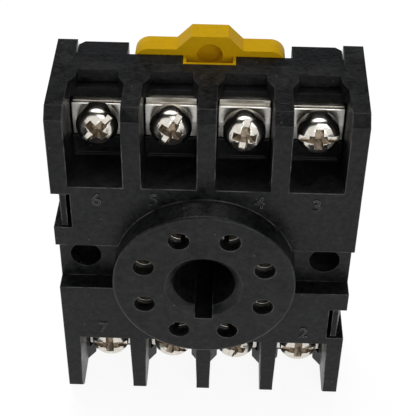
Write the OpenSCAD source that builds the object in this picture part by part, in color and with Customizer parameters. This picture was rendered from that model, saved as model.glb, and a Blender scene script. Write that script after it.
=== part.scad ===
// Socket for an eight-pin plug-in relay, with screw terminals and a clip for a 35 mm rail.
// It stands on its lower end: X runs across it, Y runs from the face to the back and Z is up.
// The modules below are drawn in panel axes instead: x right, y up from the middle of the face,
// and z out of the face, so that a depth behind the face is a negative z. stand() turns them upright.

/* [Body] */
// Width across the outer ribs, at the face
body_w = 40.2; // [39.6:0.1:60]
// Height from end to end
body_h = 51; // [50:0.5:64]
// Depth from the face to the parting line
housing_d = 11.6; // [11.4:0.1:16]
// Thickness of the base plate behind the parting line
base_t = 2.2; // [2.1:0.1:4]
// Chamfer on the outer ends of the ribs
end_chamfer = 1.4; // [0.5:0.1:2]
// How far the end flanges stand out at the back of the side walls
flange_draft = 0.35; // [0.1:0.05:0.8]
// Height of the end flanges
flange_h = 2.3; // [1:0.1:4]
// Clearance between the base and the housing around it
seat_gap = 0.1; // [0.05:0.01:0.2]

/* [Pin boss] */
// Radius of the round boss
boss_r = 12.3; // [11.6:0.1:13]
// Height of the boss above the face
boss_h = 3.5; // [3:0.1:5]
// Radius of the rounding on the edge of the boss
boss_round = 0.35; // [0.1:0.05:0.8]
// Radius of the hole for the relay's spigot
spigot_r = 4.2; // [4:0.05:4.6]
// Radius of the spigot hole's lead-in, at the mouth
lead_r = 5.25; // [5:0.05:5.6]
// Depth of the lead-in
lead_d = 0.9; // [0.4:0.1:1.5]
// Width of the key slot
key_w = 2.4; // [1.8:0.1:3]
// Reach of the key slot from the middle of the boss
key_reach = 5.8; // [5.3:0.1:6]
// Diameter of the circle that the pins stand on
pin_circle_d = 17.45; // [16.5:0.05:18]
// Radius of the holes that the relay's pins enter by
pin_hole_r = 1.4; // [1.2:0.05:1.5]
// Thickness of the boss over the contacts
pin_cover = 1.9; // [1.2:0.1:2.5]

/* [Terminal bays] */
// Distance between neighbouring bays
bay_pitch = 9.5; // [9.5:0.1:9.8]
// Width of a bay
bay_w = 7.1; // [7:0.1:7.6]
// Distance from the middle of a screw to the end of the body
screw_inset = 5.7; // [5.5:0.1:6.5]
// Distance from the middle of a screw to the bay's inner ledge
ledge_gap = 5.95; // [4:0.05:6.1]
// Depth of the pads that the contacts lie on
pad_d = 8.3; // [8:0.1:9]
// Thickness of the housing's end walls behind the bays
end_wall = 1.75; // [1.2:0.1:2.4]
// How much further a lower bay's sides stand out at the end of the body
bay_flare = 0.25; // [0:0.05:0.4]
// Depth at which the wire entry narrows
throat_d = 6.6; // [5.5:0.1:6.8]
// Depth over which it narrows
throat_slope = 1.5; // [0.8:0.1:2]
// Width of the narrow part of the wire entry
throat_w = 5.5; // [4.6:0.1:6.2]
// Depth of the wire entry at the end face
throat_end_d = 9.75; // [9.2:0.05:10.4]

/* [Screws and clamp plates] */
// Radius of the screw thread
thread_r = 1.7; // [1.6:0.05:1.75]
// Radial clearance of the thread in the contact
thread_gap = 0.05; // [0.02:0.01:0.1]
// Length of a screw below its head
screw_len = 5; // [4.6:0.1:5.4]
// Radius of a screw head
head_r = 2.75; // [2.5:0.05:2.9]
// Height of a screw head
head_h = 2.75; // [2:0.05:3]
// Width of the slot in a screw head
slot_w = 0.8; // [0.6:0.05:1]
// Depth of the slot
slot_d = 0.9; // [0.6:0.1:1.2]
// Depth of the cross recess
cross_d = 1.5; // [1:0.1:1.8]
// Reach of the cross recess from the middle of the head
cross_reach = 1.75; // [1.3:0.05:2]
// Width of a clamp plate
clamp_w = 6.75; // [6:0.05:6.9]
// Height of a clamp plate
clamp_h = 4.8; // [4.6:0.1:5.6]
// Thickness of a clamp plate
clamp_t = 0.6; // [0.5:0.05:0.8]
// How far a clamp plate is bowed, so that its edges meet the contact
clamp_bow = 0.1; // [0.05:0.05:0.3]

/* [Contacts] */
// Thickness of the contact strip
strip_t = 0.8; // [0.6:0.05:1]
// Width of the strip between the pin and the terminal
strip_w = 3; // [2.4:0.1:3.4]
// Outer radius of the fingers that grip a pin
finger_r = 1.6; // [1.5:0.05:1.7]
// Thickness of a finger
finger_t = 0.4; // [0.3:0.05:0.5]
// Width of the gap between the two fingers
finger_gap = 0.7; // [0.4:0.1:1]
// How much shorter the plates of the outer terminals are
plate_short = 0.6; // [0:0.1:0.8]
// Clearance around a contact in its cavity
cavity_gap = 0.15; // [0.1:0.01:0.25]

/* [Mounting] */
// Distance between the two mounting holes
mount_pitch = 33; // [32:0.1:33.4]
// Radius of a mounting hole
mount_r = 2.1; // [1.8:0.05:2.3]
// Height of the cross channel that the mounting holes lie in
channel_h = 7.8; // [7:0.1:8.4]
// Depth of the cross channel
channel_d = 2.6; // [2:0.1:3.4]
// Height of the rail slot in the back
rail_h = 35.4; // [35.2:0.1:36]
// Depth of the rail slot
rail_d = 3.5; // [3.4:0.1:5]
// Room behind the slot's floor for the lips of the rail
lip_room = 1.3; // [1.1:0.05:1.5]
// How far a hook reaches over a lip of the rail
hook_reach = 1.2; // [0.8:0.1:1.6]
// How far the walls beside the clip stand back from the end of the body
wall_drop = 0.3; // [0:0.05:0.5]

/* [Rail clip] */
// Width of the clip across its wings
clip_w = 20; // [16:0.1:21]
// Height of the wings above the end of the body
wing_rise = 0.8; // [0.6:0.1:3]
// Height of the pull tab above the wings
tab_rise = 2; // [1.2:0.1:4]
// Radius of the wings' upper corners
wing_round = 2; // [0.5:0.1:2.5]
// Width of the pull tab at its top
tab_w = 4.8; // [4:0.1:6]
// Width of the tongue under the pull tab
tongue_w = 6.9; // [6:0.1:8]
// Depth of the pocket in the tongue that a screwdriver levers in
pocket_h = 1.8; // [1.7:0.05:2.2]
// Thickness of the rim around that pocket
rim_t = 0.4; // [0.3:0.05:0.6]
// Radius of the arch above the pocket
dimple_r = 1.7; // [1.4:0.05:1.7]
// How far the arch is sunk into the clip
dimple_d = 1.5; // [0.8:0.1:2]
// Travel of the clip from the locked place to the free one
clip_travel = 3; // [1.5:0.1:3]
// Clearance around the moving clip
clip_gap = 0.1; // [0.05:0.01:0.15]
// Mean radius of the return spring
spring_r = 1.25; // [1:0.05:1.3]
// Radius of the spring wire
wire_r = 0.2; // [0.15:0.01:0.22]
// Working turns of the spring
spring_turns = 5; // [3:1:6]

/* [Side latches] */
// Height of a latch window
latch_h = 5.6; // [4.5:0.1:6]
// Distance of a latch window from the middle of the side
latch_y = 9.8; // [8:0.1:11]
// Thickness of a latch arm
latch_t = 1; // [0.8:0.05:1.2]
// Gap that a latch arm bends into
latch_slit = 0.55; // [0.4:0.05:0.8]
// Depth of the latch's catch face
catch_d = 5.5; // [4:0.1:7]

/* [Hidden] */

$fn = 72;
eps = 1;

black = [0.13, 0.13, 0.13];
yellow = [0.86, 0.67, 0.02];
nickel = [0.78, 0.76, 0.72];
bronze = [0.8, 0.66, 0.42];
steel = [0.62, 0.62, 0.63];

// Planes and places that follow from the sizes above
half_w = body_w / 2;
half_h = body_h / 2;
back_d = housing_d + base_t;
body_d = back_d + rail_d;
face_y = boss_h - (boss_h + body_d) / 2;
screw_y = half_h - screw_inset;
ledge_y = screw_y - ledge_gap;
room_y = half_h - end_wall;
room_x = half_w - 2.35;
base_x = room_x - seat_gap;
throat_y = room_y - 0.55;
strip_d = pad_d - strip_t;
clamp_d = strip_d - clamp_t - clamp_bow;
rail_y = rail_h / 2;

// Latch arms: they stand in the windows, just inside the skirts
arm_in = room_x + latch_slit - seat_gap;
arm_out = arm_in + latch_t;
latch_bar = arm_out + 0.15;
latch_play = 0.25;

// Columns around the mounting holes, which pass the base on their way back
column_in = mount_pitch / 2 - mount_r - 0.8;
column_y = mount_r + 1.2;

// Rail clip and its spring
plate_front = housing_d + 0.05;
wing_y = half_h + wing_rise;
tab_y = wing_y + tab_rise;
stem_top = half_h - 3;
stem_low = 6.4;
stem_w = 4.8;
neck_w = 3.8;
neck_y = 13.8;
spring_low = 7.4;
spring_high = 13;
spring_room = 3.5;
spring_front = housing_d - 0.9;
guide_w = 6.4;
guide_d = plate_front + 0.7;
guide_t = 0.7;
spring_d = spring_front + spring_r + wire_r + 0.05;

// Terminal n: its column across the body, its row, and the angle of its pin
function column(n) = [0.5, 1.5, 1.5, 0.5, -0.5, -1.5, -1.5, -0.5][n - 1] * bay_pitch;
function row(n) = n >= 3 && n <= 6 ? 1 : -1;
function pin_angle(n) = 45 * n - 112.5;
function pin_at(n) = pin_circle_d / 2 * [cos(pin_angle(n)), sin(pin_angle(n))];
function screw_at(n) = [column(n), row(n) * screw_y];
// How far each screw stands off its clamp plate, as it is left
function screw_off(n) = n == 3 || n == 4 ? 0.8 : 0;
// How far each screw happens to be turned
function screw_turn(n) = [70, 0, 0, 82, 62, 45, 0, -25][n - 1];

// Turns the panel axes upright, with the lower end on the ground
module stand() {
    translate([0, face_y, half_h]) rotate([90, 0, 0]) children();
}

// A block from one corner to the other
module block(low, high) {
    translate(low) cube(high - low);
}

// An outline in y and z, drawn out to a width across the body
module across(w) {
    translate([-w / 2, 0, 0]) rotate([90, 0, 90]) linear_extrude(w) children();
}

// An outline in x and z, drawn out from y0 up to y1
module upward(y0, y1) {
    translate([0, y1, 0]) rotate([90, 0, 0]) linear_extrude(y1 - y0) children();
}

// A round bar from depth d0 back to depth d1
module bar(r, d0, d1) {
    translate([0, 0, -d1]) cylinder(r = r, h = d1 - d0);
}

// Repeats its children at each mounting hole
module at_mounts() {
    for (s = [-1, 1]) translate([s * mount_pitch / 2, 0, 0]) children();
}

// Puts a latch drawn for the right side on both sides, turned half round from each other
module both_latches() {
    translate([0, -latch_y, 0]) children();
    mirror([1, 0, 0]) translate([0, latch_y, 0]) children();
}

// ---- Front housing ----

// The block from the face to the parting line, with chamfered ends
module face_block() {
    across(body_w) polygon([
        [-half_h, -housing_d], [half_h, -housing_d],
        [half_h, -end_chamfer], [half_h - end_chamfer, 0],
        [end_chamfer - half_h, 0], [-half_h, -end_chamfer]
    ]);
}

// One side wall that reaches back beside the base, with its drafted end flanges
module skirt() {
    block([room_x, -half_h, -back_d], [half_w, half_h, -end_chamfer]);
    for (s = [0, 1]) mirror([0, s, 0]) {
        block([room_x, rail_y, -body_d], [half_w, half_h, -end_chamfer]);
        upward(half_h - flange_h, half_h) polygon([
            [room_x, -body_d], [half_w + flange_draft, -body_d],
            [half_w, -end_chamfer], [room_x, -end_chamfer]
        ]);
    }
}

// The room of one terminal: the bay for the screw and the wire entry past it
module bay(n) {
    inner = bay_w / 2;
    outer = inner + (row(n) < 0 ? bay_flare : 0);
    narrow = throat_w / 2;
    narrow_d = throat_d + throat_slope;
    translate([column(n), 0, 0]) mirror([0, 1 - row(n), 0]) {
        translate([0, 0, -throat_d]) linear_extrude(throat_d + eps) polygon([
            [-inner, ledge_y], [-outer, throat_y - 0.5], [-outer, half_h + eps],
            [outer, half_h + eps], [outer, throat_y - 0.5], [inner, ledge_y]
        ]);
        block([-inner, ledge_y, -pad_d - 0.5], [inner, throat_y, -throat_d + 0.1]);
        upward(throat_y - 0.5, half_h + eps) polygon([
            [-outer, 0.1 - throat_d], [-outer, -throat_d], [-narrow, -narrow_d],
            [-narrow, -throat_end_d], [narrow, -throat_end_d], [narrow, -narrow_d],
            [outer, -throat_d], [outer, 0.1 - throat_d]
        ]);
    }
}

// The boss, with a rounded edge
module boss() {
    rotate_extrude() polygon(concat(
        [[0, -channel_d - 0.5], [boss_r, -channel_d - 0.5]],
        [for (a = [0:30:90]) [
            boss_r - boss_round + boss_round * cos(a),
            boss_h - boss_round + boss_round * sin(a)
        ]],
        [[0, boss_h]]
    ));
}

// The keyed hole for the relay's spigot
module spigot_hole(r, reach, back) {
    bar(r, -boss_h - eps, back);
    block([-key_w / 2, -reach, -back], [key_w / 2, 0, boss_h + eps]);
}

// The cavity of one contact, with the relay pin's hole over it
module contact_cavity(n) {
    translate(pin_at(n)) {
        bar(pin_hole_r, -boss_h - eps, 0);
        bar(finger_r + cavity_gap, pin_cover - boss_h, pad_d + 0.1);
    }
    translate([0, 0, -pad_d - 0.1]) linear_extrude(strip_t + cavity_gap + 0.1)
        strip_outline(n, cavity_gap);
}

// The window that one latch arm stands in, open at the front above its catch
module latch_window() {
    block([room_x - seat_gap, -latch_h / 2, -catch_d - 0.1], [half_w + eps, latch_h / 2, eps]);
    block([room_x - seat_gap, -latch_h / 2, -back_d - eps], [latch_bar, latch_h / 2, -catch_d]);
}

module front_housing() {
    color(black) stand() difference() {
        union() {
            difference() {
                union() {
                    face_block();
                    skirt();
                    mirror([1, 0, 0]) skirt();
                }
                block([-room_x, -room_y, -back_d - eps], [room_x, room_y, -pad_d]);
                block([-half_w - eps, -channel_h / 2, -channel_d], [half_w + eps, channel_h / 2, eps]);
            }
            boss();
            for (s = [0, 1]) mirror([s, 0, 0])
                block([column_in, -column_y, -back_d], [room_x + 0.2, column_y, -pad_d + 0.1]);
        }
        for (n = [1:8]) bay(n);
        for (n = [1:8]) contact_cavity(n);
        spigot_hole(spigot_r, key_reach, pad_d + 0.1);
        translate([0, 0, boss_h - lead_d])
            cylinder(r1 = spigot_r, r2 = lead_r, h = lead_d + 0.001);
        at_mounts() bar(mount_r, -eps, back_d + eps);
        both_latches() latch_window();
    }
}

// ---- Rear base ----

// One latch arm with its ramped head, drawn for the right side
module latch_arm() {
    upward(-latch_h / 2 + latch_play, latch_h / 2 - latch_play) polygon([
        [arm_in, -back_d], [arm_in, -0.2], [arm_in + 0.8, -0.2], [half_w - 0.1, -catch_d + 0.25],
        [half_w - 0.1, -catch_d + 0.05], [arm_out, -catch_d + 0.05], [arm_out, -back_d]
    ]);
    block([base_x - eps, -latch_h / 2 + latch_play, -back_d],
          [arm_in + 0.1, latch_h / 2 - latch_play, -plate_front]);
}

// A hook that holds the lower lip of the rail, drawn for the right side
module fixed_hook() {
    hook_in = 5;
    hook_out = 14;
    translate([(hook_in + hook_out) / 2, 0, 0]) across(hook_out - hook_in) polygon([
        [-rail_y - 0.5, -back_d - lip_room], [-rail_y + hook_reach, -back_d - lip_room],
        [-rail_y + hook_reach - 0.5, -body_d], [-rail_y - 0.5, -body_d]
    ]);
}

// The walls above and below the rail
module rail_walls() {
    ear_in = clip_w / 2 + 0.9;
    for (s = [0, 1]) mirror([s, 0, 0]) {
        upward(rail_y, half_h - wall_drop) polygon([
            [ear_in, 0.1 - back_d], [base_x - 0.1, 0.1 - back_d], [base_x - 0.1, 0.8 - body_d],
            [base_x - 0.9, -body_d], [ear_in, -body_d]
        ]);
        fixed_hook();
    }
    block([0.1 - base_x, -half_h, -body_d], [base_x - 0.1, -rail_y, 0.1 - back_d]);
}

// The slot that the clip's stem runs in, its side grooves and the spring's pocket
module clip_track() {
    head_w = tongue_w + 2 * clip_gap;
    wide = stem_w + 2 * clip_gap;
    narrow = neck_w + 2 * clip_gap;
    wide_top = neck_y + clip_travel + 0.3;
    block([-head_w / 2, stem_top - clip_gap, -back_d - eps], [head_w / 2, half_h + eps, -plate_front]);
    block([-narrow / 2, stem_low, -back_d - eps], [narrow / 2, half_h, -plate_front]);
    block([-wide / 2, stem_low - clip_gap, -back_d - eps], [wide / 2, wide_top, -plate_front]);
    block([-guide_w / 2 - clip_gap, stem_low - clip_gap, -guide_d - guide_t - clip_gap],
          [guide_w / 2 + clip_gap, spring_high + clip_travel + 0.2, -guide_d + clip_gap]);
    block([-spring_room / 2, spring_low, -plate_front - 0.1],
          [spring_room / 2, spring_high, -spring_front]);
}

// The holes under one terminal: for the screw, its collar and the relay's pin
module terminal_holes(n) {
    translate(screw_at(n)) {
        bar(thread_r + 0.9, 0, pad_d + 1.2);
        bar(thread_r + 0.3, 0, strip_d + screw_len + 0.6);
    }
    translate(pin_at(n)) bar(finger_r, 0, pad_d + 2.1);
}

module rear_base() {
    color(black) stand() difference() {
        union() {
            block([-base_x, -half_h, -back_d], [base_x, half_h, -housing_d]);
            block([-base_x, seat_gap - room_y, -housing_d - 0.1], [base_x, room_y - seat_gap, -pad_d]);
            both_latches() latch_arm();
            rail_walls();
        }
        for (n = [1:8]) terminal_holes(n);
        spigot_hole(spigot_r + 0.5, key_reach + 0.1, housing_d);
        for (s = [0, 1]) mirror([s, 0, 0])
            block([column_in - seat_gap, -column_y - seat_gap, -back_d - eps],
                  [room_x + eps, column_y + seat_gap, 0]);
        clip_track();
    }
}

// ---- Rail clip ----

// The outline of the wings and the pull tab
module clip_outline(low) {
    translate([-clip_w / 2, low]) square([clip_w, wing_y - wing_round - low]);
    translate([-clip_w / 2 + wing_round, low]) square([clip_w - 2 * wing_round, wing_y - low]);
    for (s = [-1, 1]) translate([s * (clip_w / 2 - wing_round), wing_y - wing_round])
        circle(wing_round);
    polygon([
        [-tab_w / 2 - tab_rise, wing_y - 0.1], [-tab_w / 2 - tab_rise, wing_y], [-tab_w / 2, tab_y],
        [tab_w / 2, tab_y], [tab_w / 2 + tab_rise, wing_y], [tab_w / 2 + tab_rise, wing_y - 0.1]
    ]);
}

// The lip that snaps behind the upper edge of the rail
module clip_hook() {
    hook_w = clip_w - 4;
    across(hook_w) polygon([
        [rail_y - hook_reach, -back_d - lip_room], [rail_y + 0.5, -back_d - lip_room],
        [rail_y + 0.5, clip_gap - body_d], [rail_y - hook_reach + 0.8, clip_gap - body_d]
    ]);
}

// The tongue under the pull tab, with the pocket in its end
module clip_tongue() {
    front = -plate_front - clip_gap;
    rim_x = tongue_w / 2 - rim_t;
    difference() {
        block([-tongue_w / 2, stem_top, -back_d - 0.5], [tongue_w / 2, half_h, front]);
        block([-rim_x, half_h - pocket_h, -back_d - clip_gap], [rim_x, half_h + eps, front - rim_t]);
    }
}

// The stem that runs in the base, with its guide ribs and the spring's window
module clip_stem() {
    front = -plate_front - clip_gap;
    rear = clip_gap - back_d;
    difference() {
        union() {
            block([-neck_w / 2, stem_low, rear], [neck_w / 2, stem_top + 0.1, front]);
            block([-stem_w / 2, stem_low, rear], [stem_w / 2, neck_y, front]);
            block([-guide_w / 2, stem_low, -guide_d - guide_t], [guide_w / 2, spring_high, -guide_d]);
        }
        block([-spring_room / 2, spring_low, -back_d - eps], [spring_room / 2, spring_high, 0]);
    }
}

module rail_clip() {
    arch = back_d + clip_gap;
    color(yellow) stand() difference() {
        union() {
            translate([0, 0, clip_gap - body_d]) linear_extrude(rail_d - 2 * clip_gap)
                clip_outline(rail_y + 0.2);
            clip_hook();
            clip_tongue();
            clip_stem();
        }
        translate([0, half_h, 0]) bar(dimple_r, arch - 0.2, arch + dimple_d);
    }
}

// A closed coil: the wire's section is carried along a helix, and flat caps close its ends
module clip_spring() {
    sides = 8;
    steps = 16;
    low = spring_low + wire_r + 0.03;
    high = spring_high - wire_r - 0.03;
    rings = spring_turns * steps;
    function wire_point(i, j) =
        let (turn = 360 * i / steps, side = 360 * j / sides, r = spring_r + wire_r * cos(side))
        [r * cos(turn), low + (high - low) * i / rings + wire_r * sin(side), r * sin(turn) - spring_d];
    points = [for (i = [0:rings], j = [0:sides - 1]) wire_point(i, j)];
    walls = [for (i = [0:rings - 1], j = [0:sides - 1])
        [i * sides + j, i * sides + (j + 1) % sides,
         (i + 1) * sides + (j + 1) % sides, (i + 1) * sides + j]];
    caps = [[for (j = [sides - 1:-1:0]) j], [for (j = [0:sides - 1]) rings * sides + j]];
    color(steel) stand() polyhedron(points = points, faces = concat(walls, caps));
}

// ---- Terminals ----

// Outline of a contact's flat strip, with a margin all round: an eye under the pin,
// a band out to the bay and the plate under the screw
module strip_outline(n, margin) {
    p = pin_at(n);
    q = [column(n), row(n) * (ledge_y + 1)];
    w = strip_w / 2 + margin;
    low = screw_y - clamp_h / 2 - 0.4;
    high = throat_y - 0.3 - (abs(column(n)) > bay_pitch ? plate_short : 0);
    translate(p) circle(finger_r + 0.5 + margin);
    polygon([[p.x - w, p.y], [p.x + w, p.y], [q.x + w, q.y], [q.x - w, q.y]]);
    translate([q.x, 0]) mirror([0, 1 - row(n)]) {
        translate([-w, ledge_y + 0.5]) square([2 * w, low - ledge_y]);
        translate([-clamp_w / 2 + 0.1, low]) square([clamp_w - 0.2, high - low]);
    }
}

module contact(n) {
    collar_d = 1;
    color(bronze) stand() difference() {
        union() {
            translate([0, 0, -pad_d]) linear_extrude(strip_t) strip_outline(n, 0);
            translate(screw_at(n)) bar(thread_r + 0.7, strip_d + 0.1, pad_d + collar_d);
            translate(pin_at(n)) bar(finger_r, pin_cover - boss_h + 0.1, strip_d + 0.1);
        }
        translate(screw_at(n)) bar(thread_r + thread_gap, 0, pad_d + collar_d + eps);
        translate(pin_at(n)) {
            bar(finger_r - finger_t, -boss_h, pad_d + eps);
            rotate(pin_angle(n)) block([-finger_r - 0.1, -finger_gap / 2, -strip_d + 1.5],
                                       [finger_r + 0.1, finger_gap / 2, boss_h]);
        }
    }
}

// A clamp plate: bowed a little about its middle, with a hole for its screw
module clamp(n) {
    h = clamp_h / 2;
    color(nickel) stand() translate(screw_at(n)) difference() {
        across(clamp_w) polygon([
            [-h, -strip_d], [0, clamp_bow - strip_d], [h, -strip_d],
            [h, clamp_t - strip_d], [0, -clamp_d], [-h, clamp_t - strip_d]
        ]);
        bar(thread_r + 0.1, 0, pad_d);
    }
}

// A pan-head screw with a slot and a cross recess
module screw(n) {
    edge = 1;
    tip = 0.5;
    top = head_h - clamp_d;
    color(nickel) stand() translate(concat(screw_at(n), screw_off(n))) rotate(screw_turn(n)) difference() {
        translate([0, 0, -clamp_d]) rotate_extrude() polygon(concat(
            [[0, -screw_len], [thread_r - tip, -screw_len], [thread_r, tip - screw_len],
             [thread_r, 0], [head_r - 0.15, 0], [head_r, 0.15]],
            [for (a = [0:18:90]) [head_r - edge + edge * cos(a), head_h - edge + edge * sin(a)]],
            [[0, head_h]]
        ));
        block([-head_r - 0.1, -slot_w / 2, top - slot_d], [head_r + 0.1, slot_w / 2, top + eps]);
        for (a = [0, 90]) rotate(a)
            block([-cross_reach, -slot_w / 2, top - cross_d], [cross_reach, slot_w / 2, top + eps]);
    }
}

front_housing();
rear_base();
rail_clip();
clip_spring();
for (n = [1:8]) {
    contact(n);
    clamp(n);
    screw(n);
}
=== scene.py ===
# %% [markdown]
# # A socket for a plug-in relay
#
# The real object is a black plastic block as big as a matchbox. A round relay plugs into the boss
# on its face, wires are held by eight nickel-plated screws in bays at the two ends, and a yellow
# clip at the back snaps onto a mounting rail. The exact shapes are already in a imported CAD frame,
# so this lesson adds what CAD leaves out: rounded edges, screw heads, raised numbers, light and
# finishes.

# %% Load the frame
import math

import bmesh
import bpy
from mathutils import Matrix, Vector


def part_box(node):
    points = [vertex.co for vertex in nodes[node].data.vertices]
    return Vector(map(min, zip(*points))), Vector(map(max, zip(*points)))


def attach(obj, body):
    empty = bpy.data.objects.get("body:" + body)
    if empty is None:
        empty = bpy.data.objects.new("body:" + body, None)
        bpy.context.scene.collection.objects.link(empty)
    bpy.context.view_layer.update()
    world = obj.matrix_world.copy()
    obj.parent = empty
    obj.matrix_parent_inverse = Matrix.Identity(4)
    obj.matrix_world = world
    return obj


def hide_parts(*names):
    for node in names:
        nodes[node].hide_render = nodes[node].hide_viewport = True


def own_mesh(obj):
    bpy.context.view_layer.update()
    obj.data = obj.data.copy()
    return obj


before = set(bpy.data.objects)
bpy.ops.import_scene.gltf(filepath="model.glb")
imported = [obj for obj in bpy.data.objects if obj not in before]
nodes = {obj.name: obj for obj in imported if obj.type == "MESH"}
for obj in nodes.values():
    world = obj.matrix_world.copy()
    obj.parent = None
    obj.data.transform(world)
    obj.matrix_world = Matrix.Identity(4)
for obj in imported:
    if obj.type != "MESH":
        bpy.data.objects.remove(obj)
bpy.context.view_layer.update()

# %% [markdown]
# Every measure of a small part is easier to think of in millimetres, counted from the middle of
# the face: x to the right, depth back from the face, and z up. One helper turns such a place into
# Blender's metres, and the two numbers it needs are read from the CAD boxes.

# %% Places on the socket
MM = 0.001
BOSS_HEIGHT = 3.5
low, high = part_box("front_housing")
face_y = low.y + BOSS_HEIGHT * MM
middle_z = (low.z + high.z) / 2
BAYS = {n: Vector(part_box(f"clamp_{n}")[0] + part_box(f"clamp_{n}")[1]) / 2 for n in range(1, 9)}


def at(x, depth, z):
    """A place given in millimetres from the middle of the face, in metres in the frame."""
    return Vector((x * MM, face_y + depth * MM, middle_z + z * MM))


print("face at y", round(face_y, 5), "middle at z", round(middle_z, 5))

# %% [markdown]
# The camera stands well back with a long lens, so the socket shows only a little perspective, and
# it looks down on the top end from about 39 degrees. Its direction is written as two vectors, the
# way it looks and its up side, because a matrix made of them leaves no doubt about the roll.

# %% Camera
look = Vector((-0.01181, 0.77369, -0.63346)).normalized()
upward = Vector((-0.02722, 0.63302, 0.77366))
side = look.cross(upward).normalized()
upward = side.cross(look)
camera_data = bpy.data.cameras.new("camera")
camera = bpy.data.objects.new("camera", camera_data)
bpy.context.scene.collection.objects.link(camera)
camera.matrix_world = Matrix((side, upward, -look)).transposed().to_4x4()
camera.location = at(1.973, -107.897, 99.319)
camera_data.sensor_width = 36
camera_data.lens = 92.78
camera_data.clip_start = 0.005
bpy.context.scene.camera = camera
bpy.context.scene.view_settings.view_transform = "Standard"
print("camera at", [round(value, 4) for value in camera.location], "lens", camera_data.lens)

# %% [markdown]
# A small product is lit as in a white tent with a dim roof. The world gives an even light. The
# background is plain white for the rays that the camera sees and for those through glass, by the
# Light Path node, so it needs no extra light on the object. Mirror-like rays see the white too,
# but it fades out above the horizon, because a shiny black part under a white roof would turn
# grey. Straight overhead the roof has a bright window. Flat faces never mirror it towards the
# camera, so it shows only as lines of light on rounded rims and on the shoulders of the screws.

# %% World
TENT_LIGHT, WHITE = 0.28, 1
ROOF_FADE, ROOF_LIGHT = (0.05, 0.4), (1, 0.06)
WINDOW_EDGE, WINDOW_LIGHT = (0.84, 0.94), 2.6
world = bpy.data.worlds.new("tent")
bpy.context.scene.world = world
world.use_nodes = True
world_nodes, world_links = world.node_tree.nodes, world.node_tree.links
world_nodes.clear()
path = world_nodes.new("ShaderNodeLightPath")
toward = world_nodes.new("ShaderNodeTexCoord")
toward_parts = world_nodes.new("ShaderNodeSeparateXYZ")
roof = world_nodes.new("ShaderNodeMapRange")
roof.inputs["From Min"].default_value, roof.inputs["From Max"].default_value = ROOF_FADE
roof.inputs["To Min"].default_value, roof.inputs["To Max"].default_value = ROOF_LIGHT
window = world_nodes.new("ShaderNodeMapRange")
window.inputs["From Min"].default_value, window.inputs["From Max"].default_value = WINDOW_EDGE
window.inputs["To Max"].default_value = WINDOW_LIGHT
overhead = world_nodes.new("ShaderNodeMath")
overhead.operation = "ADD"
shiny = world_nodes.new("ShaderNodeMix")
shiny.inputs["A"].default_value = TENT_LIGHT
seen = world_nodes.new("ShaderNodeMath")
seen.operation = "ADD"
seen.use_clamp = True
plain = world_nodes.new("ShaderNodeMix")
plain.inputs["B"].default_value = WHITE
tent = world_nodes.new("ShaderNodeBackground")
tent.inputs["Color"].default_value = (1, 1, 1, 1)
tent_out = world_nodes.new("ShaderNodeOutputWorld")
world_links.new(toward.outputs["Generated"], toward_parts.inputs[0])
world_links.new(toward_parts.outputs["Z"], roof.inputs["Value"])
world_links.new(path.outputs["Is Glossy Ray"], shiny.inputs["Factor"])
world_links.new(toward_parts.outputs["Z"], window.inputs["Value"])
world_links.new(roof.outputs["Result"], overhead.inputs[0])
world_links.new(window.outputs["Result"], overhead.inputs[1])
world_links.new(overhead.outputs[0], shiny.inputs["B"])
world_links.new(path.outputs["Is Camera Ray"], seen.inputs[0])
world_links.new(path.outputs["Is Transmission Ray"], seen.inputs[1])
world_links.new(seen.outputs[0], plain.inputs["Factor"])
world_links.new(shiny.outputs["Result"], plain.inputs["A"])
world_links.new(plain.outputs["Result"], tent.inputs["Strength"])
world_links.new(tent.outputs[0], tent_out.inputs["Surface"])
print("world", len(world_nodes), "nodes")

# %% [markdown]
# One large soft lamp hangs above and behind the top end, which is the side that faces the light.
# It is hidden from mirror-like rays, because the flat top would turn grey with its reflection. A
# lamp in front lights the face, and a weak one at the left opens up the shadows.

# %% Lamps


def lamp(name, place, power, size):
    """A square soft lamp at a place in millimetres, aimed at the middle of the socket."""
    data = bpy.data.lights.new(name, "AREA")
    data.energy = power
    data.size = size
    thing = bpy.data.objects.new(name, data)
    bpy.context.scene.collection.objects.link(thing)
    thing.location = at(*place)
    thing.rotation_euler = (at(0, 5, 0) - thing.location).to_track_quat("-Z", "Y").to_euler()
    return thing


top_lamp = lamp("top_lamp", (-80, 270, 330), 1.25, 0.3)
top_lamp.visible_glossy = False
lamp("front_lamp", (160, -420, 140), 0.75, 0.35)
lamp("left_lamp", (-380, -160, 160), 0.15, 0.25)
print(len(bpy.data.lights), "lamps")

# %% [markdown]
# The floor is a wide pale sheet. Where the camera sees it, most of its tone is a plain white
# emission, and the rest is ordinary paper that still takes the soft shadow of the socket.

# %% Floor
FLOOR_SIZE, PAPER_TONE, WHITE_SHARE, WHITE_STRENGTH = 30, 0.86, 0.85, 1.08
bpy.ops.object.select_all(action="DESELECT")
bpy.ops.mesh.primitive_plane_add(size=FLOOR_SIZE, location=(0, 0, low.z))
floor = bpy.context.object
floor.name = "floor"
paper = bpy.data.materials.new("paper")
paper.use_nodes = True
paper_nodes, paper_links = paper.node_tree.nodes, paper.node_tree.links
paper_nodes.clear()
paper_path = paper_nodes.new("ShaderNodeLightPath")
paper_share = paper_nodes.new("ShaderNodeMath")
paper_share.operation = "MULTIPLY"
paper_share.inputs[1].default_value = WHITE_SHARE
paper_seen = paper_nodes.new("ShaderNodeMath")
paper_seen.operation = "ADD"
paper_seen.use_clamp = True
paper_diffuse = paper_nodes.new("ShaderNodeBsdfDiffuse")
paper_diffuse.inputs["Color"].default_value = (PAPER_TONE, PAPER_TONE, PAPER_TONE, 1)
paper_white = paper_nodes.new("ShaderNodeEmission")
paper_white.inputs["Strength"].default_value = WHITE_STRENGTH
paper_mix = paper_nodes.new("ShaderNodeMixShader")
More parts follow.
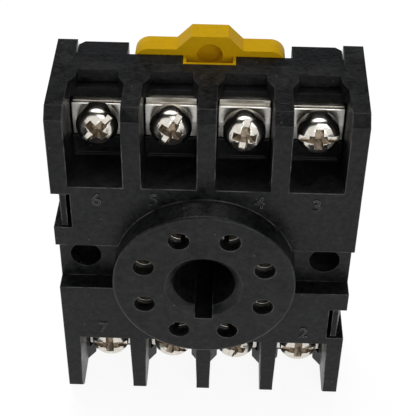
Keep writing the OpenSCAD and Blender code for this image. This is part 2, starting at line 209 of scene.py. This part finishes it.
paper_out = paper_nodes.new("ShaderNodeOutputMaterial")
paper_links.new(paper_path.outputs["Is Camera Ray"], paper_seen.inputs[0])
paper_links.new(paper_path.outputs["Is Glossy Ray"], paper_seen.inputs[1])
paper_links.new(paper_seen.outputs[0], paper_share.inputs[0])
paper_links.new(paper_share.outputs[0], paper_mix.inputs[0])
paper_links.new(paper_diffuse.outputs[0], paper_mix.inputs[1])
paper_links.new(paper_white.outputs[0], paper_mix.inputs[2])
paper_links.new(paper_mix.outputs[0], paper_out.inputs["Surface"])
floor.data.materials.append(paper)
print("floor at z", round(low.z, 5))

# %% [markdown]
# Several finishes share the same small effects, so each effect is a node group. The first is
# moulded grain: a fine noise that gives the height of the surface, and a slower one that says
# where the plastic is a little duller. Both read Object coordinates, which are metres, so a scale
# of 2500 makes features of 0.4 mm. A third value mixes the two into the mottling of the plastic's
# tone.

# %% Shared effect: moulded grain


def new_group(name, inputs, outputs):
    """A shader node group with float inputs and outputs, and its input and output nodes."""
    group = bpy.data.node_groups.new(name, "ShaderNodeTree")
    for label, value in inputs:
        socket = group.interface.new_socket(label, in_out="INPUT", socket_type="NodeSocketFloat")
        socket.default_value = value
    for label in outputs:
        group.interface.new_socket(label, in_out="OUTPUT", socket_type="NodeSocketFloat")
    return group, group.nodes.new("NodeGroupInput"), group.nodes.new("NodeGroupOutput")


grain, grain_in, grain_out = new_group(
    "moulded_grain",
    [("Fine Scale", 2500), ("Patch Scale", 220), ("Mottle Scale", 1300)],
    ["Height", "Patch", "Mottle"],
)
coords = grain.nodes.new("ShaderNodeTexCoord")
fine = grain.nodes.new("ShaderNodeTexNoise")
fine.inputs["Detail"].default_value = 3
fine.inputs["Roughness"].default_value = 0.6
patch = grain.nodes.new("ShaderNodeTexNoise")
patch.inputs["Detail"].default_value = 4
patch.inputs["Roughness"].default_value = 0.65
mottle = grain.nodes.new("ShaderNodeTexNoise")
mottle.inputs["Detail"].default_value = 5
mottle.inputs["Roughness"].default_value = 0.7
mottle_mix = grain.nodes.new("ShaderNodeMix")
mottle_mix.inputs["Factor"].default_value = 0.35
grain.links.new(coords.outputs["Object"], mottle.inputs["Vector"])
grain.links.new(grain_in.outputs["Mottle Scale"], mottle.inputs["Scale"])
grain.links.new(mottle.outputs["Fac"], mottle_mix.inputs["A"])
grain.links.new(patch.outputs["Fac"], mottle_mix.inputs["B"])
grain.links.new(mottle_mix.outputs["Result"], grain_out.inputs["Mottle"])
grain.links.new(coords.outputs["Object"], fine.inputs["Vector"])
grain.links.new(coords.outputs["Object"], patch.inputs["Vector"])
grain.links.new(grain_in.outputs["Fine Scale"], fine.inputs["Scale"])
grain.links.new(grain_in.outputs["Patch Scale"], patch.inputs["Scale"])
grain.links.new(fine.outputs["Fac"], grain_out.inputs["Height"])
grain.links.new(patch.outputs["Fac"], grain_out.inputs["Patch"])
print(grain.name, "gives", [socket.name for socket in grain_out.inputs if socket.name])

# %% [markdown]
# The mould was milled, and its faint tool lines run along the block from end to end. They are
# noise squeezed hard across and stretched along z. The last effect is handling dust: a few pale
# specks, which are the hearts of widely spaced Voronoi cells.

# %% Shared effects: tool lines and specks
lines, lines_in, lines_out = new_group("tool_lines", [("Across", 1900), ("Along", 70)], ["Height"])
lines_coords = lines.nodes.new("ShaderNodeTexCoord")
lines_scale = lines.nodes.new("ShaderNodeCombineXYZ")
lines_stretch = lines.nodes.new("ShaderNodeVectorMath")
lines_stretch.operation = "MULTIPLY"
lines_noise = lines.nodes.new("ShaderNodeTexNoise")
lines_noise.inputs["Scale"].default_value = 1
lines_noise.inputs["Detail"].default_value = 2
lines.links.new(lines_in.outputs["Across"], lines_scale.inputs["X"])
lines.links.new(lines_in.outputs["Across"], lines_scale.inputs["Y"])
lines.links.new(lines_in.outputs["Along"], lines_scale.inputs["Z"])
lines.links.new(lines_coords.outputs["Object"], lines_stretch.inputs[0])
lines.links.new(lines_scale.outputs[0], lines_stretch.inputs[1])
lines.links.new(lines_stretch.outputs[0], lines_noise.inputs["Vector"])
lines.links.new(lines_noise.outputs["Fac"], lines_out.inputs["Height"])

specks, specks_in, specks_out = new_group(
    "dust_specks", [("Cells", 520), ("Speck Size", 0.05)], ["Mask"]
)
specks_coords = specks.nodes.new("ShaderNodeTexCoord")
specks_cells = specks.nodes.new("ShaderNodeTexVoronoi")
specks_less = specks.nodes.new("ShaderNodeMath")
specks_less.operation = "LESS_THAN"
specks.links.new(specks_coords.outputs["Object"], specks_cells.inputs["Vector"])
specks.links.new(specks_in.outputs["Cells"], specks_cells.inputs["Scale"])
specks.links.new(specks_cells.outputs["Distance"], specks_less.inputs[0])
specks.links.new(specks_in.outputs["Speck Size"], specks_less.inputs[1])
specks.links.new(specks_less.outputs[0], specks_out.inputs["Mask"])
print(lines.name, "and", specks.name, "are ready")

# %% [markdown]
# Edges get a painted highlight that makes their colour paler, and they are also smoother. The
# Bevel node gives the normal that a rounded edge would have, and where it leans away from the true
# normal there is an edge. A slow noise breaks the line up, and deep inside the holes and bays,
# where shade falls, the painted highlight and the smoothness fade out.

# %% Shared effect: painted edge highlight and smoother edges
SHEEN_WEAR_START, SHEEN_WEAR_END, SHEEN_WEAR_LEFT = 0.6, 3.5, 0.12
SHEEN_WEAR_RADIUS = 0.22 * MM
# This mask paints a highlight into the colour of edges and also lowers their roughness.
sheen_wear, sheen_wear_in, sheen_wear_out = new_group("painted_edge_sheen_and_wear", [("Gain", 7), ("Patch Scale", 500)], ["Mask"])
sheen_wear_round = sheen_wear.nodes.new("ShaderNodeBevel")
sheen_wear_round.samples = 6
sheen_wear_round.inputs["Radius"].default_value = SHEEN_WEAR_RADIUS
sheen_wear_true = sheen_wear.nodes.new("ShaderNodeNewGeometry")
sheen_wear_dot = sheen_wear.nodes.new("ShaderNodeVectorMath")
sheen_wear_dot.operation = "DOT_PRODUCT"
sheen_wear_lean = sheen_wear.nodes.new("ShaderNodeMath")
sheen_wear_lean.operation = "SUBTRACT"
sheen_wear_lean.inputs[0].default_value = 1
sheen_wear_gain = sheen_wear.nodes.new("ShaderNodeMath")
sheen_wear_gain.operation = "MULTIPLY"
sheen_wear_gain.use_clamp = True
sheen_wear_coords = sheen_wear.nodes.new("ShaderNodeTexCoord")
sheen_wear_noise = sheen_wear.nodes.new("ShaderNodeTexNoise")
sheen_wear_noise.inputs["Detail"].default_value = 3
sheen_wear_break = sheen_wear.nodes.new("ShaderNodeMapRange")
sheen_wear_break.inputs["From Min"].default_value = 0.38
sheen_wear_break.inputs["From Max"].default_value = 0.6
sheen_wear_mask = sheen_wear.nodes.new("ShaderNodeMath")
sheen_wear_mask.operation = "MULTIPLY"
sheen_wear.links.new(sheen_wear_round.outputs["Normal"], sheen_wear_dot.inputs[0])
sheen_wear.links.new(sheen_wear_true.outputs["Normal"], sheen_wear_dot.inputs[1])
sheen_wear.links.new(sheen_wear_dot.outputs["Value"], sheen_wear_lean.inputs[1])
sheen_wear.links.new(sheen_wear_lean.outputs[0], sheen_wear_gain.inputs[0])
sheen_wear.links.new(sheen_wear_in.outputs["Gain"], sheen_wear_gain.inputs[1])
sheen_wear.links.new(sheen_wear_coords.outputs["Object"], sheen_wear_noise.inputs["Vector"])
sheen_wear.links.new(sheen_wear_in.outputs["Patch Scale"], sheen_wear_noise.inputs["Scale"])
sheen_wear.links.new(sheen_wear_noise.outputs["Fac"], sheen_wear_break.inputs["Value"])
sheen_wear.links.new(sheen_wear_gain.outputs[0], sheen_wear_mask.inputs[0])
sheen_wear.links.new(sheen_wear_break.outputs["Result"], sheen_wear_mask.inputs[1])
sheen_wear_depth = sheen_wear.nodes.new("ShaderNodeSeparateXYZ")
sheen_wear_reach = sheen_wear.nodes.new("ShaderNodeMapRange")
sheen_wear_reach.inputs["From Min"].default_value = face_y + SHEEN_WEAR_START * MM
sheen_wear_reach.inputs["From Max"].default_value = face_y + SHEEN_WEAR_END * MM
sheen_wear_reach.inputs["To Min"].default_value = 1
sheen_wear_reach.inputs["To Max"].default_value = SHEEN_WEAR_LEFT
sheen_wear_faded = sheen_wear.nodes.new("ShaderNodeMath")
sheen_wear_faded.operation = "MULTIPLY"
sheen_wear.links.new(sheen_wear_coords.outputs["Object"], sheen_wear_depth.inputs[0])
sheen_wear.links.new(sheen_wear_depth.outputs["Y"], sheen_wear_reach.inputs["Value"])
sheen_wear.links.new(sheen_wear_mask.outputs[0], sheen_wear_faded.inputs[0])
sheen_wear.links.new(sheen_wear_reach.outputs["Result"], sheen_wear_faded.inputs[1])
sheen_wear.links.new(sheen_wear_faded.outputs[0], sheen_wear_out.inputs["Mask"])
print(sheen_wear.name, "fades from", SHEEN_WEAR_START, "to", SHEEN_WEAR_END, "mm below the face")

# %% [markdown]
# Each finish is one Principled shader. A helper places the shared effects and mixes two tones of
# the plastic by the patchy mask, so that no surface is one flat colour. What is the same all
# over, such as the metallic value, is set on the shader itself. An edge gets a painted highlight
# that makes it paler, and it is also smoother.

# %% A finish from the shared effects
EDGE_ROUGHNESS = 0.12


def finish(name, dark, light, rough, bump, metallic=0.0, specular=0.5, fine_scale=2500,
           patch_scale=220, mottle_scale=1300, tone_span=(0.36, 0.64), line_bump=0.0,
           edge_sheen_tone=None, speck_tone=None):
    """A Principled material whose tone, roughness and relief come from the shared effects."""
    material = bpy.data.materials.new(name)
    material.use_nodes = True
    tree = material.node_tree
    shader = tree.nodes["Principled BSDF"]
    shader.inputs["Metallic"].default_value = metallic
    shader.inputs["Specular IOR Level"].default_value = specular
    grain_node = tree.nodes.new("ShaderNodeGroup")
    grain_node.node_tree = grain
    grain_node.inputs["Fine Scale"].default_value = fine_scale
    grain_node.inputs["Patch Scale"].default_value = patch_scale
    grain_node.inputs["Mottle Scale"].default_value = mottle_scale
    tones = tree.nodes.new("ShaderNodeValToRGB")
    tones.color_ramp.elements[0].position = tone_span[0]
    tones.color_ramp.elements[0].color = (*dark, 1)
    tones.color_ramp.elements[1].position = tone_span[1]
    tones.color_ramp.elements[1].color = (*light, 1)
    tree.links.new(grain_node.outputs["Mottle"], tones.inputs["Fac"])
    colour = tones.outputs["Color"]
    # Painted highlight: edges take the pale edge tone by the edge mask.
    if edge_sheen_tone:
        edge_node = tree.nodes.new("ShaderNodeGroup")
        edge_node.node_tree = sheen_wear
        edged = tree.nodes.new("ShaderNodeMix")
        edged.data_type = "RGBA"
        edged.inputs["B"].default_value = (*edge_sheen_tone, 1)
        tree.links.new(edge_node.outputs["Mask"], edged.inputs["Factor"])
        tree.links.new(colour, edged.inputs["A"])
        colour = edged.outputs["Result"]
    if speck_tone:
        speck_node = tree.nodes.new("ShaderNodeGroup")
        speck_node.node_tree = specks
        dusty = tree.nodes.new("ShaderNodeMix")
        dusty.data_type = "RGBA"
        dusty.inputs["B"].default_value = (*speck_tone, 1)
        tree.links.new(speck_node.outputs["Mask"], dusty.inputs["Factor"])
        tree.links.new(colour, dusty.inputs["A"])
        colour = dusty.outputs["Result"]
    tree.links.new(colour, shader.inputs["Base Color"])
    rough_range = tree.nodes.new("ShaderNodeMapRange")
    rough_range.inputs["From Min"].default_value = 0.3
    rough_range.inputs["From Max"].default_value = 0.7
    rough_range.inputs["To Min"].default_value = rough[0]
    rough_range.inputs["To Max"].default_value = rough[1]
    tree.links.new(grain_node.outputs["Patch"], rough_range.inputs["Value"])
    roughness = rough_range.outputs["Result"]
    if edge_sheen_tone:
        polish = tree.nodes.new("ShaderNodeMix")
        polish.inputs["B"].default_value = EDGE_ROUGHNESS
        tree.links.new(edge_node.outputs["Mask"], polish.inputs["Factor"])
        tree.links.new(roughness, polish.inputs["A"])
        roughness = polish.outputs["Result"]
    tree.links.new(roughness, shader.inputs["Roughness"])
    relief = tree.nodes.new("ShaderNodeBump")
    relief.inputs["Strength"].default_value = 1.0
    relief.inputs["Distance"].default_value = bump
    tree.links.new(grain_node.outputs["Height"], relief.inputs["Height"])
    normal = relief.outputs["Normal"]
    if line_bump:
        line_node = tree.nodes.new("ShaderNodeGroup")
        line_node.node_tree = lines
        line_relief = tree.nodes.new("ShaderNodeBump")
        line_relief.inputs["Distance"].default_value = line_bump
        tree.links.new(line_node.outputs["Height"], line_relief.inputs["Height"])
        tree.links.new(normal, line_relief.inputs["Normal"])
        normal = line_relief.outputs["Normal"]
    tree.links.new(normal, shader.inputs["Normal"])
    print(name, len(tree.nodes), "nodes")
    return material


# %% [markdown]
# The housing is black plastic with a satin face: dark grey at best, never pure black, and it
# shines softly. The base behind it comes from another mould and is a trace duller. The clip is a
# warm yellow.

# %% Plastics
# The pale edge tones of both blacks are painted highlights on their edges.
housing_black = finish(
    "housing_black", (0.0015, 0.0018, 0.0022), (0.0205, 0.021, 0.021), (0.26, 0.46), 0.05 * MM,
    specular=0.2, line_bump=0.024 * MM, tone_span=(0.4, 0.66), edge_sheen_tone=(0.2, 0.2, 0.195),
    speck_tone=(0.09, 0.09, 0.085),
)
base_black = finish(
    "base_black", (0.0015, 0.0018, 0.0024), (0.014, 0.0145, 0.016), (0.3, 0.5), 0.05 * MM,
    specular=0.16, line_bump=0.016 * MM, tone_span=(0.4, 0.66), edge_sheen_tone=(0.17, 0.17, 0.17),
    speck_tone=(0.07, 0.07, 0.07),
)
clip_yellow = finish(
    "clip_yellow", (0.57, 0.33, 0.0015), (0.63, 0.37, 0.002), (0.5, 0.6), 0.008 * MM,
    specular=0.1, patch_scale=300,
)

# %% [markdown]
# Screws and clamp plates are steel with a bright nickel plating, which is faintly warm. Tumbling
# in a barrel leaves it covered in fine marks. The contacts are softer and duller, and the spring
# is plain drawn wire.

# %% Metals
nickel = finish(
    "nickel", (0.60, 0.56, 0.49), (0.80, 0.77, 0.71), (0.1, 0.24), 0.02 * MM,
    metallic=1.0, fine_scale=1100, patch_scale=900, mottle_scale=1100,
)
nickel_plate = finish(
    "nickel_plate", (0.62, 0.60, 0.55), (0.76, 0.74, 0.70), (0.24, 0.36), 0.008 * MM,
    metallic=1.0, fine_scale=2200, patch_scale=700,
)
# The recess finish is darker and browner than the nickel: painted shade and reflection in the cross
# recess.
shaded_recess_nickel = finish(
    "shaded_recess_nickel", (0.16, 0.125, 0.09), (0.46, 0.38, 0.29), (0.3, 0.48), 0.02 * MM,
    metallic=1.0, fine_scale=1800, patch_scale=1500,
)
contact_tin = finish(
    "contact_tin", (0.58, 0.55, 0.48), (0.70, 0.67, 0.60), (0.28, 0.4), 0.006 * MM,
    metallic=1.0, fine_scale=2000, patch_scale=600,
)
spring_wire = finish(
    "spring_wire", (0.35, 0.35, 0.36), (0.5, 0.5, 0.5), (0.3, 0.42), 0.004 * MM,
    metallic=1.0, fine_scale=3000, patch_scale=900,
)

# %% [markdown]
# A CAD part keeps its mesh, and takes a finish in the material slot it already has.

# %% Finishes on the CAD parts
coats = {"front_housing": housing_black, "rear_base": base_black, "rail_clip": clip_yellow}
coats.update({f"contact_{n}": contact_tin for n in BAYS})
coats.update({f"clamp_{n}": nickel_plate for n in BAYS})
for name, coat in coats.items():
    for holder in nodes[name].material_slots:
        holder.material = coat
print(len(coats), "parts have a finish")

# %% [markdown]
# No moulded or stamped edge is perfectly sharp, and the thin lines of light on the edges are what
# makes a black part readable. A CAD mesh may not be edited, but modifiers are allowed: Weld joins
# its loose triangles, and Bevel rounds each edge that turns by more than 30 degrees.

# %% Rounded edges


def round_edges(thing, width):
    """Welds and bevels a part's mesh with modifiers only."""
    weld = thing.modifiers.new("weld", "WELD")
    weld.merge_threshold = 0.000001
    bevel = thing.modifiers.new("bevel", "BEVEL")
    bevel.width = width
    bevel.segments = 2
    bevel.limit_method = "ANGLE"
    bevel.angle_limit = math.radians(30)
    bevel.use_clamp_overlap = True


edge_widths = {"front_housing": 0.21, "rear_base": 0.15, "rail_clip": 0.3}
edge_widths.update({f"clamp_{n}": 0.1 for n in BAYS})
edge_widths.update({f"contact_{n}": 0.06 for n in BAYS})
for name, width in edge_widths.items():
    round_edges(nodes[name], width * MM)
print(len(edge_widths), "parts have rounded edges")

# %% [markdown]
# The screws have pan heads: a flat disc with a full, round shoulder, a slot across it and a cross
# recess in the middle. CAD holds the plain form, so the screw is modelled anew. It starts as a
# cylinder. Its top face is bevelled with many segments into the shoulder, and three insets that
# are each lifted a little make the crown. A helper selects the faces that an operator will work
# on.

# %% Screw blank
HEAD_RADIUS, HEAD_HEIGHT, SHANK_RADIUS, SHANK_LENGTH = 2.75, 2.75, 1.7, 5.0
CROWN, CROWN_STEPS = 0.36, ((0.35, 0.14), (0.5, 0.13), (0.5, 0.09))
SHOULDER = 1.05


def pick_faces(test):
    """In edit mode, selects only the faces whose centre and normal pass the test."""
    mesh = bmesh.from_edit_mesh(bpy.context.object.data)
    for face in mesh.faces:
        face.select_set(bool(test(face.calc_center_median() / MM, face.normal)))
    bmesh.update_edit_mesh(bpy.context.object.data)


bpy.ops.object.select_all(action="DESELECT")
bpy.ops.mesh.primitive_cylinder_add(
    vertices=48, radius=HEAD_RADIUS * MM, depth=(HEAD_HEIGHT - CROWN) * MM,
    location=(0, 0, (HEAD_HEIGHT - CROWN) * MM / 2),
)
screw = bpy.context.object
screw.name = "screw_pattern"
bpy.ops.object.transform_apply(location=True, rotation=True, scale=True)
bpy.ops.object.mode_set(mode="EDIT")
bpy.ops.mesh.select_mode(type="FACE")
pick_faces(lambda centre, normal: normal.z > 0.9)
bpy.ops.mesh.bevel(
    offset=SHOULDER * MM, segments=7, profile=0.5, affect="EDGES", clamp_overlap=True
)
for width, lift in CROWN_STEPS:
    pick_faces(lambda centre, normal: normal.z > 0.99 and centre.xy.length < 0.1)
    bpy.ops.mesh.inset(thickness=width * MM, depth=lift * MM)
print("head", len(screw.data.polygons), "faces")

# %% [markdown]
# The shank grows out of the underside. One inset gives its width, and the thread is a row of
# short extrusions that step in and out, as wide as half a turn of the real thread each.

# %% Screw thread
TURN, THREAD_STEP, TIP_STEP = 0.3, 0.84, 0.75
pick_faces(lambda centre, normal: normal.z < -0.9)
bpy.ops.mesh.inset(thickness=(HEAD_RADIUS - SHANK_RADIUS) * MM, depth=0)
depth = 0.0
wide = True
while depth < SHANK_LENGTH - 2 * TURN:
    bpy.ops.mesh.extrude_region_move(TRANSFORM_OT_translate={"value": (0, 0, -TURN * MM)})
    factor = THREAD_STEP if wide else 1 / THREAD_STEP
    bpy.ops.transform.resize(value=(factor, factor, 1), center_override=(0, 0, 0))
    wide = not wide
    depth += TURN
bpy.ops.mesh.extrude_region_move(
    TRANSFORM_OT_translate={"value": (0, 0, -(SHANK_LENGTH - depth) * MM)}
)
bpy.ops.transform.resize(value=(TIP_STEP, TIP_STEP, 1), center_override=(0, 0, 0))
bpy.ops.object.mode_set(mode="OBJECT")
print("thread ends at", round(min(v.co.z for v in screw.data.vertices) / MM, 2), "mm")

# %% [markdown]
# The slot and the cross are cut with Boolean modifiers, and the cutters are shaped as the punch
# that strikes the real recess: its blades narrow towards the tip. The faces that the cross leaves
# behind are rougher, and their darker, browner tone is painted shade and reflection in the hollow.

# %% Slot and cross recess
SLOT = (6.4, 0.95, 0.85, (1, 0.85))
CROSS = (4.0, 1.35, 1.5, (0.35, 0.5))
CUTTER_ABOVE, BROKEN_EDGE, RECESS_RADIUS, RECESS_LOWEST = 0.4, 0.07, 2.05, 0.8


def blade(length, width, depth, taper, turn):
    """A bar across the head, whose lower end is narrowed by a taper in x and y."""
    bpy.ops.object.select_all(action="DESELECT")
    bpy.ops.mesh.primitive_cube_add(size=1)
    bar = bpy.context.object
    top = HEAD_HEIGHT + CUTTER_ABOVE
    bar.data.transform(
        Matrix.Translation((0, 0, (HEAD_HEIGHT - depth + top) / 2 * MM))
        @ Matrix.Diagonal((length * MM, width * MM, (depth + top - HEAD_HEIGHT) * MM, 1))
    )
    bpy.ops.object.mode_set(mode="EDIT")
    bpy.ops.mesh.select_mode(type="FACE")
    pick_faces(lambda centre, normal: normal.z < -0.9)
    bpy.ops.transform.resize(value=(*taper, 1), center_override=(0, 0, 0))
    bpy.ops.object.mode_set(mode="OBJECT")
    bar.data.transform(Matrix.Rotation(math.radians(turn), 4, "Z"))
    return bar


def cut(body, tool):
    """Takes a tool's shape out of a body, and removes the tool."""
    bpy.ops.object.select_all(action="DESELECT")
    bpy.context.view_layer.objects.active = body
    body.select_set(True)
    difference = body.modifiers.new("cut", "BOOLEAN")
    difference.operation = "DIFFERENCE"
    difference.solver = "EXACT"
    difference.object = tool
    bpy.ops.object.modifier_apply(modifier=difference.name)
    bpy.data.objects.remove(tool)


cut(screw, blade(*SLOT, 0))
for turn in (0, 90):
    cut(screw, blade(*CROSS, turn))
edge = screw.modifiers.new("edge", "BEVEL")
edge.width = BROKEN_EDGE * MM
edge.segments = 2
edge.limit_method = "ANGLE"
edge.angle_limit = math.radians(35)
bpy.ops.object.modifier_apply(modifier="edge")
screw.data.materials.clear()
screw.data.materials.append(nickel)
screw.data.materials.append(shaded_recess_nickel)
# Faces inside the recess, below the crown, take the painted shade and reflection.
for face in screw.data.polygons:
    centre = face.center / MM
    inside = centre.z > RECESS_LOWEST and centre.xy.length < RECESS_RADIUS
    face.material_index = int(inside and centre.z < HEAD_HEIGHT - CROWN - 0.1)
bpy.ops.object.shade_smooth_by_angle(angle=math.radians(32))
print("screw", len(screw.data.polygons), "faces")

# %% [markdown]
# One screw is enough, because all eight are alike. Each copy gets its own mesh, which is turned
# to the angle at which that screw was left, stood up to face the front, and moved to its bay.

# %% Eight screws
TURNS = {1: 70, 2: 0, 3: 0, 4: 82, 5: 62, 6: 45, 7: 0, 8: -25}
face_front = Matrix.Rotation(math.radians(90), 4, "X")
for n, turn in TURNS.items():
    box_low, box_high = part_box(f"screw_{n}")
    seat = Vector(((box_low.x + box_high.x) / 2, box_high.y - SHANK_LENGTH * MM,
                   (box_low.z + box_high.z) / 2))
    piece = bpy.data.objects.new(f"pan_screw_{n}", screw.data.copy())
    piece.data.transform(
        Matrix.Translation(seat) @ face_front @ Matrix.Rotation(math.radians(turn), 4, "Z")
    )
    bpy.context.scene.collection.objects.link(piece)
    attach(piece, f"driver_{n}")
    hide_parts(f"screw_{n}")
bpy.data.objects.remove(screw)
print(len(TURNS), "screws are in place")

# %% [markdown]
# The return spring sits in the clip's window. When the clip is pulled, the window's lower end
# squeezes it against the base, and the stiff CAD coil can't do that, so the coil is wound here. A
# circle with the wire's radius stands beside the axis, and the Screw modifier sweeps it round
# five times while it climbs. The two ends are filled in edit mode.

# %% Return spring
SPRING_TURNS, WIRE_RADIUS, WIRE_SIDES, CLIP_TRAVEL = 5, 0.2 * MM, 10, 3.0 * MM
spring_low, spring_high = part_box("clip_spring")
spring_middle = (spring_low + spring_high) / 2
coil_radius = (spring_high.x - spring_low.x) / 2 - WIRE_RADIUS
spring_length = spring_high.z - spring_low.z
climb = spring_length - 2 * WIRE_RADIUS
bpy.ops.object.select_all(action="DESELECT")
bpy.ops.mesh.primitive_circle_add(vertices=WIRE_SIDES, radius=WIRE_RADIUS)
spring = bpy.context.object
spring.name = "return_spring"
spring.data.transform(
    Matrix.Translation((coil_radius, 0, 0)) @ Matrix.Rotation(math.radians(90), 4, "X")
)
winding = spring.modifiers.new("winding", "SCREW")
winding.axis = "Z"
winding.steps = winding.render_steps = 24
winding.iterations = SPRING_TURNS
winding.screw_offset = climb / SPRING_TURNS
bpy.ops.object.modifier_apply(modifier="winding")
bpy.ops.object.mode_set(mode="EDIT")
bpy.ops.mesh.select_mode(type="EDGE")
for end in (0, climb):
    bpy.ops.mesh.select_all(action="DESELECT")
    wire = bmesh.from_edit_mesh(spring.data)
    for rim in wire.edges:
        middle = (rim.verts[0].co + rim.verts[1].co) / 2
        rim.select_set(rim.is_boundary and abs(middle.z - end) < 2 * WIRE_RADIUS)
    bmesh.update_edit_mesh(spring.data)
    bpy.ops.mesh.edge_face_add()
bpy.ops.mesh.select_all(action="SELECT")
bpy.ops.mesh.normals_make_consistent(inside=False)
bpy.ops.object.mode_set(mode="OBJECT")
spring.data.transform(
    Matrix.Translation((spring_middle.x, spring_middle.y, spring_low.z + WIRE_RADIUS))
)
bpy.ops.object.shade_smooth_by_angle(angle=math.radians(50))
spring.data.materials.append(spring_wire)
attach(spring, "socket")
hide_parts("clip_spring")
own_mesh(spring)

# %% [markdown]
# Below each clamp plate a thin block of the base's black plastic covers the strip that runs on to
# the relay's pin, so that the bay shows dark under the screw. Its front panel is sunk in by an
# inset, and all its edges are rounded. One is shaped, and the others are copies, half of them
# turned over for the lower row.

# %% Strip covers
COVER_WIDTH, COVER_HEIGHT, COVER_FRONT, COVER_BACK = 7.0, 3.4, 6.7, 7.45
COVER_ROW, PANEL_INSET, PANEL_SINK, COVER_EDGE = 15.6, 0.5, 0.25, 0.12
bpy.ops.object.select_all(action="DESELECT")
bpy.ops.mesh.primitive_cube_add(size=1)
cover = bpy.context.object
cover.data.transform(Matrix.Diagonal((COVER_WIDTH * MM, COVER_HEIGHT * MM,
                                      (COVER_BACK - COVER_FRONT) * MM, 1)))
bpy.ops.object.mode_set(mode="EDIT")
bpy.ops.mesh.select_mode(type="FACE")
pick_faces(lambda centre, normal: normal.z > 0.9)
bpy.ops.mesh.inset(thickness=PANEL_INSET * MM)
bpy.ops.mesh.extrude_region_move(TRANSFORM_OT_translate={"value": (0, 0, -PANEL_SINK * MM)})
bpy.ops.object.mode_set(mode="OBJECT")
edge = cover.modifiers.new("edge", "BEVEL")
edge.width = COVER_EDGE * MM
edge.segments = 2
bpy.ops.object.modifier_apply(modifier="edge")
cover.data.materials.append(base_black)
for n, middle in BAYS.items():
    row = 1 if middle.z > middle_z else -1
    place = at(middle.x / MM, (COVER_FRONT + COVER_BACK) / 2, row * COVER_ROW)
    piece = bpy.data.objects.new(f"strip_cover_{n}", cover.data.copy())
    turn_over = Matrix.Rotation(math.radians(90 - 90 * row), 4, "Z")
    piece.data.transform(Matrix.Translation(place) @ face_front @ turn_over)
    bpy.context.scene.collection.objects.link(piece)
    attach(piece, "socket")
bpy.data.objects.remove(cover)
print(len(BAYS), "covers")

# %% [markdown]
# Plain numbers beside the bays tell the terminals apart. They stand a hair's breadth above the
# face, because the mould was engraved, and they are of the same plastic. Text objects give the
# figures, and they are made meshes before they are stood up.

# %% Raised terminal numbers
FIGURE_SIZE, FIGURE_LIFT, FIGURE_EDGE = 2.7, 0.1, 0.03
PLACES = {6: (-14.2, 11.8), 5: (-6.8, 12.0), 4: (7.0, 12.0), 3: (14.4, 11.7),
          7: (-14.4, -11.7), 8: (-6.8, -12.0), 1: (6.8, -12.0), 2: (14.3, -11.7)}
for n, (x, z) in PLACES.items():
    bpy.ops.object.select_all(action="DESELECT")
    bpy.ops.object.text_add()
    figure = bpy.context.object
    figure.name = f"number_{n}"
    figure.data.body = str(n)
    figure.data.size = FIGURE_SIZE * MM
    figure.data.extrude = FIGURE_LIFT * MM
    figure.data.bevel_depth = FIGURE_EDGE * MM
    figure.data.align_x = "CENTER"
    figure.data.align_y = "CENTER"
    bpy.ops.object.convert(target="MESH")
    figure = bpy.context.object
    figure.data.transform(Matrix.Translation(at(x, 0, z)) @ face_front)
    figure.data.materials.clear()
    figure.data.materials.append(housing_black)
    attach(figure, "socket")
print(len(PLACES), "numbers,", round(figure.dimensions.z / MM, 2), "mm high")

# %% [markdown]
# The pins that push the housing out of its mould leave faint round marks on its upper end. Each
# is a low ring that only catches the light. A torus is pressed flatter, and the half that would
# be hidden in the plastic is cut away and closed, so that the mark has a flat foot.

# %% Ejector marks
MARK_ACROSS, MARK_DEPTH = 9.5, 4.1
MARK_RADIUS, MARK_WIRE, MARK_FLATNESS, MARK_SINK = 1.1 * MM, 0.06 * MM, 0.7, 0.02 * MM
bpy.ops.object.select_all(action="DESELECT")
bpy.ops.mesh.primitive_torus_add(
    major_radius=MARK_RADIUS, minor_radius=MARK_WIRE, major_segments=40, minor_segments=8
)
ring = bpy.context.object
bpy.ops.object.mode_set(mode="EDIT")
bpy.ops.mesh.select_all(action="SELECT")
bpy.ops.transform.resize(value=(1, 1, MARK_FLATNESS), center_override=(0, 0, 0))
bpy.ops.mesh.bisect(
    plane_co=(0, 0, -MARK_SINK), plane_no=(0, 0, 1), use_fill=True, clear_inner=True,
    threshold=0.001 * MM,
)
bpy.ops.mesh.select_all(action="SELECT")
bpy.ops.mesh.normals_make_consistent(inside=False)
bpy.ops.object.mode_set(mode="OBJECT")
bpy.ops.object.shade_smooth_by_angle(angle=math.radians(50))
ring.data.materials.append(housing_black)
for side_name, x in (("left", -MARK_ACROSS), ("right", MARK_ACROSS)):
    mark = bpy.data.objects.new(f"ejector_mark_{side_name}", ring.data.copy())
    bpy.context.scene.collection.objects.link(mark)
    mark.data.transform(Matrix.Translation((x * MM, face_y + MARK_DEPTH * MM, high.z)))
    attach(mark, "socket")
bpy.data.objects.remove(ring)
print("ejector marks at z", round(high.z, 5), "with", len(mark.data.polygons), "faces each")
